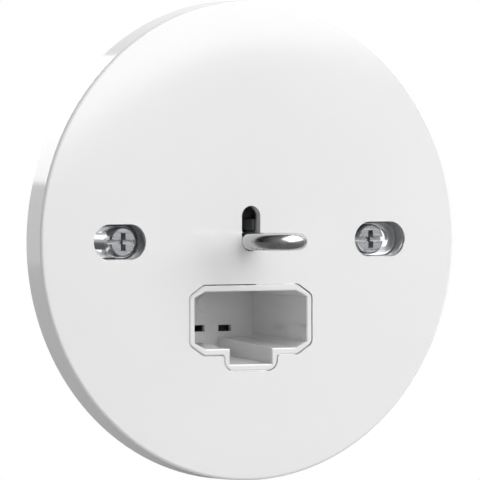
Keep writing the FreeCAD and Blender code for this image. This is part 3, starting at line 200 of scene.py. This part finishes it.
def white_plastic(name, level, roughness, ior):
    """Moulded white plastic with a polished skin: faint flow shading, a very slight orange peel."""
    finish = Finish(name)
    shading = finish.noise(PLASTIC_SHADING, detail=2.0)
    white = (level, level, level)
    warm = dimmed(dimmed(white, 0.985), 1.0, 1.0, 0.996)
    skin = finish.noise(PLASTIC_SKIN, detail=2.0, roughness=0.4)
    finish.shade(
        IOR=ior,
        Metallic=0.0,
        Base_Color=finish.ramp(shading, [(TEXTURE_LOW, warm), (TEXTURE_HIGH, white)]),
        Roughness=finish.vary(skin, roughness, SKIN_ROUGHNESS),
    )
    finish.bump(skin, SKIN_RELIEF, SKIN_STRENGTH)
    return finish.material


def matte_plastic(name, colour, roughness):
    """Moulded engineering plastic with a fine sparked grain and faint flow shading."""
    finish = Finish(name)
    flow = finish.noise(MOULD_FLOW, detail=4.0, vector=finish.stretched(ALONG_FLOW))
    grain = finish.noise(SPARKED_GRAIN, roughness=0.6)
    finish.shade(
        IOR=1.48,
        Metallic=0.0,
        Base_Color=finish.ramp(flow, [(TEXTURE_LOW, dimmed(colour, 0.9)), (TEXTURE_HIGH, colour)]),
        Roughness=finish.vary(grain, roughness, GRAIN_ROUGHNESS),
    )
    finish.bump(grain, GRAIN_RELIEF, GRAIN_STRENGTH)
    return finish.material


def plated_steel(name, colour, roughness, relief):
    """Zinc plated steel: cloudy crystals, fine rolling lines, a fine grain and rubbed patches."""
    finish = Finish(name)
    clouds = finish.noise(ZINC_CLOUDS, detail=5.0, roughness=0.6, distortion=0.4)
    lines = finish.noise(ROLLING_LINES, roughness=0.55, vector=finish.stretched(ALONG_ROLLING))
    grain = finish.noise(ZINC_GRAIN, detail=2.0, roughness=0.6)
    rubbed = finish.vary(clouds, roughness, ZINC_ROUGHNESS)
    rolled = finish.vary(lines, roughness, ZINC_LINE_ROUGHNESS)
    stops = [(0.28, dimmed(colour, 0.91)), (0.5, colour), (0.72, dimmed(colour, 1.05))]
    finish.shade(
        Metallic=1.0,
        Base_Color=finish.ramp(clouds, stops),
        Roughness=finish.calculate("ADD", rubbed, rolled),
    )
    finish.bump(finish.calculate("ADD", lines, grain), relief, ZINC_STRENGTH)
    return finish.material


def polished_chrome(name, colour, roughness):
    """Bright chrome with faint wipe marks."""
    finish = Finish(name)
    wipes = finish.noise(CHROME_WIPES, detail=4.0, vector=finish.stretched(ALONG_WIPES), distortion=0.5)
    finish.shade(
        Metallic=1.0,
        Base_Color=finish.ramp(wipes, [(0.35, dimmed(colour, 0.95)), (0.65, colour)]),
        Roughness=finish.vary(wipes, roughness, WIPE_ROUGHNESS),
    )
    finish.bump(wipes, WIPE_RELIEF, WIPE_STRENGTH)
    return finish.material


def strip_metal(name, colour, roughness, direction):
    """Rolled strip: long fine lines along the strip, slightly uneven colour."""
    finish = Finish(name)
    patches = finish.noise(STRIP_PATCHES, detail=4.0, roughness=0.6)
    lines = finish.noise(STRIP_LINES, vector=finish.stretched(direction))
    uneven = finish.vary(patches, roughness, STRIP_ROUGHNESS)
    rolled = finish.spread(lines, 0.0, STRIP_LINE_ROUGHNESS)
    finish.shade(
        Metallic=1.0,
        Base_Color=finish.ramp(patches, [(0.3, dimmed(colour, 0.86, 0.8, 0.72)), (0.65, colour)]),
        Roughness=finish.calculate("ADD", uneven, rolled),
    )
    finish.bump(lines, STRIP_RELIEF, STRIP_STRENGTH)
    return finish.material


def dress_pieces():
    """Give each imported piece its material."""
    white_cover = white_plastic("white_cover_gloss", level=0.80, roughness=0.10, ior=1.7)
    white_insert = white_plastic("white_insert_gloss", level=0.80, roughness=0.07, ior=1.9)
    bridge_steel = plated_steel("bridge_zinc", (0.76, 0.77, 0.785), roughness=0.31, relief=0.00001)
    screw_steel = plated_steel("screw_zinc", (0.42, 0.43, 0.445), roughness=0.28, relief=0.00012)
    hook_chrome = polished_chrome("hook_bright_chrome", (0.55, 0.555, 0.56), roughness=0.2)
    block_grey = matte_plastic("block_grain", (0.22, 0.225, 0.23), roughness=0.5)
    rear_pale = matte_plastic("rear_grain", (0.52, 0.53, 0.53), roughness=0.45)
    contact_brass = strip_metal("contact_strip_brass", (0.78, 0.56, 0.24), 0.28, STRIP_UP)
    spring_steel = strip_metal("spring_strip_steel", (0.58, 0.58, 0.58), 0.25, STRIP_DEEP)
    button_orange = matte_plastic("button_orange_grain", (0.72, 0.13, 0.02), roughness=0.38)
    finishes = {
        "cover": white_cover,
        "socket_housing": white_insert,
        "mounting_bridge": bridge_steel,
        "hook": hook_chrome,
        "hook_spring": spring_steel,
        "fixing_screws": screw_steel,
        "housing_screws": screw_steel,
        "terminal_block": block_grey,
        "terminal_cover": rear_pale,
        "earth_strap": contact_brass,
        "earth_rivet": contact_brass,
    }
    for pole in ("neutral", "earth", "line"):
        finishes[pole + "_contact"] = contact_brass
        finishes[pole + "_clamp_spring"] = spring_steel
        finishes[pole + "_release_button"] = button_orange
    for node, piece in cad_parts.items():
        for slot in piece.material_slots:
            slot.material = finishes[node]


def floor_material():
    """Pale where lamps light it, white towards its rim, and giving little light back to the object."""
    material = bpy.data.materials.new("floor_white")
    tree = Tree(material)
    path = tree.nodes.new("ShaderNodeLightPath").outputs
    seen = path["Is Camera Ray"]
    pale = tree.map_range(seen, FLOOR_INDIRECT, FLOOR_PALE)
    shader = tree.nodes["Principled BSDF"]
    level = tree.calculate("MULTIPLY_ADD", path["Is Glossy Ray"], FLOOR_GLOSS - FLOOR_INDIRECT, pale)
    tree.give(shader.inputs["Base Color"], level)
    tree.give(shader.inputs["Roughness"], FLOOR_ROUGHNESS)
    place = tree.nodes.new("ShaderNodeTexCoord").outputs["Object"]
    flat = tree.add("ShaderNodeVectorMath", {0: place, 1: (1.0, 1.0, 0.0)}, operation="MULTIPLY")
    length = tree.add("ShaderNodeVectorMath", {0: flat.outputs["Vector"]}, operation="LENGTH")
    fade = tree.map_range(length.outputs["Value"], 0.0, 1.0, FLOOR_CLEAR, FLOOR_FADED, "SMOOTHSTEP")
    glow = tree.add("ShaderNodeEmission", {"Strength": tree.map_range(seen, FLOOR_INDIRECT, 1.0)})
    top = tree.mix(fade, shader.outputs["BSDF"], glow.outputs["Emission"])
    # From below the floor is clear, so that it doesn't hide the object's underside.
    clear = tree.nodes.new("ShaderNodeBsdfTransparent").outputs["BSDF"]
    from_below = tree.nodes.new("ShaderNodeNewGeometry").outputs["Backfacing"]
    tree.give(tree.nodes["Material Output"].inputs["Surface"], tree.mix(from_below, top, clear))
    return material


def make_floor():
    """A round pale floor that fades into the white surroundings at its rim."""
    rim = []
    for step in range(FLOOR_STEPS):
        angle = 2 * math.pi * step / FLOOR_STEPS
        rim.append((FLOOR_RADIUS * math.cos(angle), FLOOR_RADIUS * math.sin(angle), FLOOR_LEVEL))
    mesh = bpy.data.meshes.new("floor")
    mesh.from_pydata(rim, [], [tuple(range(FLOOR_STEPS))])
    mesh.materials.append(floor_material())
    floor = bpy.data.objects.new("floor", mesh)
    bpy.context.scene.collection.objects.link(floor)


def make_world():
    """White surroundings where they are seen directly.

    The object gets a white wall behind and a dark room in front.
    """
    world = bpy.data.worlds.new("studio")
    bpy.context.scene.world = world
    tree = Tree(world)
    direction = tree.nodes.new("ShaderNodeTexCoord").outputs["Generated"]
    path = tree.nodes.new("ShaderNodeLightPath").outputs
    glossy = path["Is Glossy Ray"]
    split = tree.add("ShaderNodeSeparateXYZ", {"Vector": direction})
    depth = tree.calculate("MULTIPLY_ADD", glossy, GLOSS_SHIFT, split.outputs["Y"])
    behind = tree.map_range(depth, 0.0, BACK_GLOW, BACK_START, BACK_END, "SMOOTHSTEP")
    nearness = tree.add("ShaderNodeVectorMath", {0: direction, 1: ROOM_TOWARDS}, operation="DOT_PRODUCT")
    glow = tree.map_range(nearness.outputs["Value"], 0.0, ROOM_GLOW, ROOM_START, ROOM_END, "SMOOTHSTEP")
    share = tree.map_range(glossy, 1.0, ROOM_GLOSS_SHARE)
    room = tree.nodes["Background"]
    tree.give(room.inputs["Color"], WHITE)
    tree.give(room.inputs["Strength"], tree.calculate("MULTIPLY_ADD", glow, share, behind))
    backdrop = tree.add("ShaderNodeBackground", {"Color": WHITE, "Strength": 1.0}).outputs["Background"]
    surroundings = tree.mix(path["Is Camera Ray"], room.outputs["Background"], backdrop)
    tree.give(tree.nodes["World Output"].inputs["Surface"], surroundings)


def softbox(name, azimuth, elevation, distance, width, height, radiance, roll=0.0):
    """A rectangular lamp that faces the origin from a direction in degrees: azimuth from +X towards -Y."""
    across = math.radians(azimuth)
    up = math.radians(elevation)
    heading = Vector((math.cos(across) * math.cos(up), -math.sin(across) * math.cos(up), math.sin(up)))
    data = bpy.data.lights.new(name, "AREA")
    data.shape = "RECTANGLE"
    data.size = width
    data.size_y = height
    data.energy = radiance * math.pi * width * height
    lamp = bpy.data.objects.new(name, data)
    bpy.context.scene.collection.objects.link(lamp)
    lamp.location = heading * distance
    facing = (-heading).to_track_quat("-Z", "Y")
    rolled = Quaternion((0.0, 0.0, 1.0), math.radians(roll))
    lamp.rotation_euler = (facing @ rolled).to_euler()


def make_camera():
    """The camera at the photo's angle, whose picture has the photo's scale at its aim."""
    azimuth = math.radians(CAMERA_AZIMUTH)
    elevation = math.radians(CAMERA_ELEVATION)
    towards = Vector(
        (
            -math.sin(azimuth) * math.cos(elevation),
            -math.cos(azimuth) * math.cos(elevation),
            math.sin(elevation),
        )
    )
    left = Vector((-math.cos(azimuth), math.sin(azimuth), 0.0))
    data = bpy.data.cameras.new("camera")
    data.sensor_width = SENSOR
    data.lens = SENSOR * PIXELS_PER_MM * CAMERA_DISTANCE / MM / PIXELS
    data.clip_start = CLIP_START
    data.clip_end = CLIP_END
    camera = bpy.data.objects.new("camera", data)
    bpy.context.scene.collection.objects.link(camera)
    camera.location = AIM + left * AIM_LEFT + towards * CAMERA_DISTANCE
    camera.rotation_euler = (-towards).to_track_quat("-Z", "Y").to_euler()
    bpy.context.scene.camera = camera


dress_pieces()
make_floor()
make_world()
softbox(
    "right_softbox",
    azimuth=38.0,
    elevation=35.6,
    distance=4.8,
    width=7.8,
    height=5.0,
    radiance=2.45,
    roll=12.0,
)
softbox("rim_softbox", azimuth=255.0, elevation=24.0, distance=1.5, width=0.9, height=0.56, radiance=3.0)
make_camera()
bpy.context.scene.view_settings.view_transform = "Standard"
